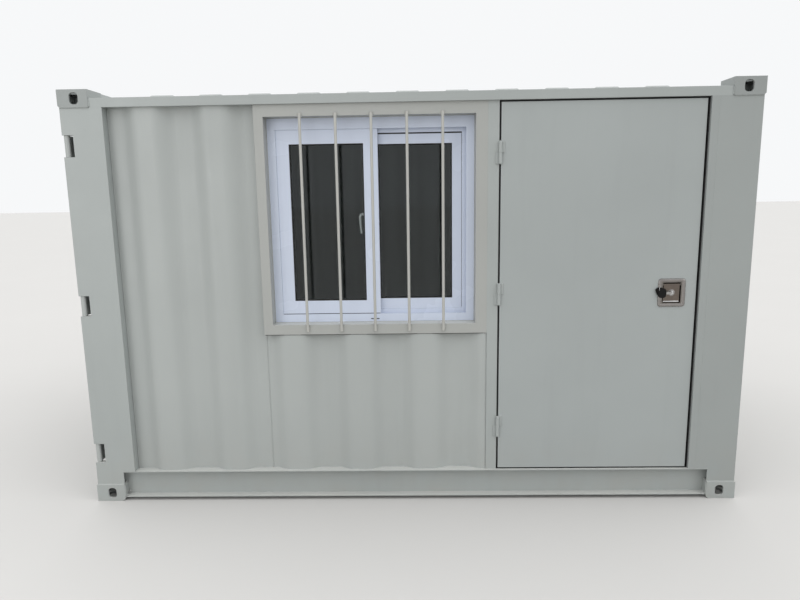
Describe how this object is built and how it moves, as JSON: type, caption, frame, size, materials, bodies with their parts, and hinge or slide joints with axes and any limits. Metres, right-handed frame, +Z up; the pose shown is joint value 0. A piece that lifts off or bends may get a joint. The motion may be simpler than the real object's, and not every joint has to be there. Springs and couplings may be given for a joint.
{
  "type": "shipping container cabin",
  "caption": "Small steel container cabin with corrugated walls, a hinged front door, a barred sliding window, corner castings and closed end doors.",
  "frame": {"origin": "middle of the footprint, on the ground under the corner castings", "axes": "+X right along the front, +Y from the front to the back, +Z up; the door and window face -Y"},
  "size_m": [3.5, 2.2, 2.2],
  "materials": {
    "wall_paint": "light warm grey paint, satin, slightly weathered",
    "underframe_paint": "dark underbody coating, matt",
    "plywood": "sealed plywood floor board",
    "window_plastic": "white window plastic, smooth",
    "glass": "dark reflecting double glazing",
    "latch_steel": "stamped stainless steel, brushed",
    "lock_chrome": "chromed lock cylinder",
    "key_plastic": "black key bow"
  },
  "bodies": {
    "cabin": {"casting_front_left_bottom": "wall_paint", "casting_front_right_bottom": "wall_paint", "casting_back_left_bottom": "wall_paint", "casting_back_right_bottom": "wall_paint", "casting_front_left_top": "wall_paint", "casting_front_right_top": "wall_paint", "casting_back_left_top": "wall_paint", "casting_back_right_top": "wall_paint", "post_front_left": "wall_paint", "post_back_left": "wall_paint", "post_front_right": "wall_paint", "post_back_right": "wall_paint", "top_rail_front": "wall_paint", "top_rail_back": "wall_paint", "top_rail_right": "wall_paint", "end_door_header": "wall_paint", "bottom_rail_front": "wall_paint", "bottom_rail_back": "wall_paint", "bottom_rail_right": "wall_paint", "end_door_sill": "wall_paint", "front_wall_left": "wall_paint", "front_wall_under_window": "wall_paint", "back_wall": "wall_paint", "right_wall": "wall_paint", "roof_sheet": "wall_paint", "window_surround": "wall_paint", "door_post": "wall_paint", "door_jamb": "wall_paint", "door_hinges_frame_side": "wall_paint", "end_door_front": "wall_paint", "end_door_back": "wall_paint", "end_door_lock_rods": "wall_paint", "floor_cross_members": "underframe_paint", "floor_board": "plywood", "window_frame": "window_plastic", "window_sash_left": "window_plastic", "window_sash_right": "window_plastic", "window_handle": "window_plastic", "window_glass": "glass"},
    "front_door": {"door_leaf": "wall_paint", "door_inner_sheet": "wall_paint", "door_hinges_leaf_side": "wall_paint", "latch_dish": "latch_steel"},
    "paddle": {"latch_paddle": "latch_steel", "lock_cylinder": "lock_chrome", "key_bow": "key_plastic"}
  },
  "joints": [
    {"name": "front_door_hinge", "type": "hinge", "parent": "cabin", "child": "front_door", "pos_m": [0.462, -1.091, 1.1375], "axis": [0, 0, -1], "range_deg": [0, 170]},
    {"name": "paddle_pull", "type": "hinge", "parent": "front_door", "child": "paddle", "pos_m": [1.354, -1.0755, 1.1775], "axis": [-1, 0, 0], "range_deg": [0, 35]}
  ]
}
